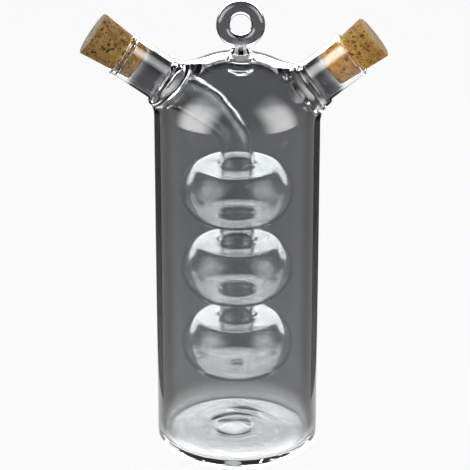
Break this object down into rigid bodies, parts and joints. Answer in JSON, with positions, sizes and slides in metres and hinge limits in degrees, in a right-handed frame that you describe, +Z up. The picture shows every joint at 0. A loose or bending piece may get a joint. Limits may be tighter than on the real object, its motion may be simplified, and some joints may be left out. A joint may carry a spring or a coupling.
{
  "type": "oil and vinegar cruet",
  "caption": "Clear glass cruet: an inner oil flask of blown bubbles inside a round vinegar flask, with slanting corked necks and a hanging ring on the crown.",
  "frame": {"origin": "middle of the flat underside of the outer flask", "axes": "+Z up along the flask; the necks and the ring stem lie in the XZ plane, the oil neck rising to -X and the vinegar neck to +X; the eye of the ring looks along Y"},
  "size_m": [0.1377, 0.075, 0.215],
  "materials": {
    "glass": "clear, fire-polished blown glass",
    "oil_cork": "natural cork, brown, with many dark pits",
    "vinegar_cork": "natural cork, yellow ochre, finer pits"
  },
  "bodies": {
    "flask": {"outer_flask": "glass", "vinegar_neck": "glass", "inner_flask": "glass", "oil_tube": "glass", "hanging_ring": "glass"},
    "oil_cork": {"oil_cork": "oil_cork"},
    "vinegar_cork": {"vinegar_cork": "vinegar_cork"}
  },
  "joints": [
    {"name": "oil_cork_pull", "type": "slide", "parent": "flask", "child": "oil_cork", "axis": [-0.8192, 0, 0.5736], "range_m": [0, 0.03]},
    {"name": "vinegar_cork_pull", "type": "slide", "parent": "flask", "child": "vinegar_cork", "axis": [0.7771, 0, 0.6293], "range_m": [0, 0.03]}
  ]
}
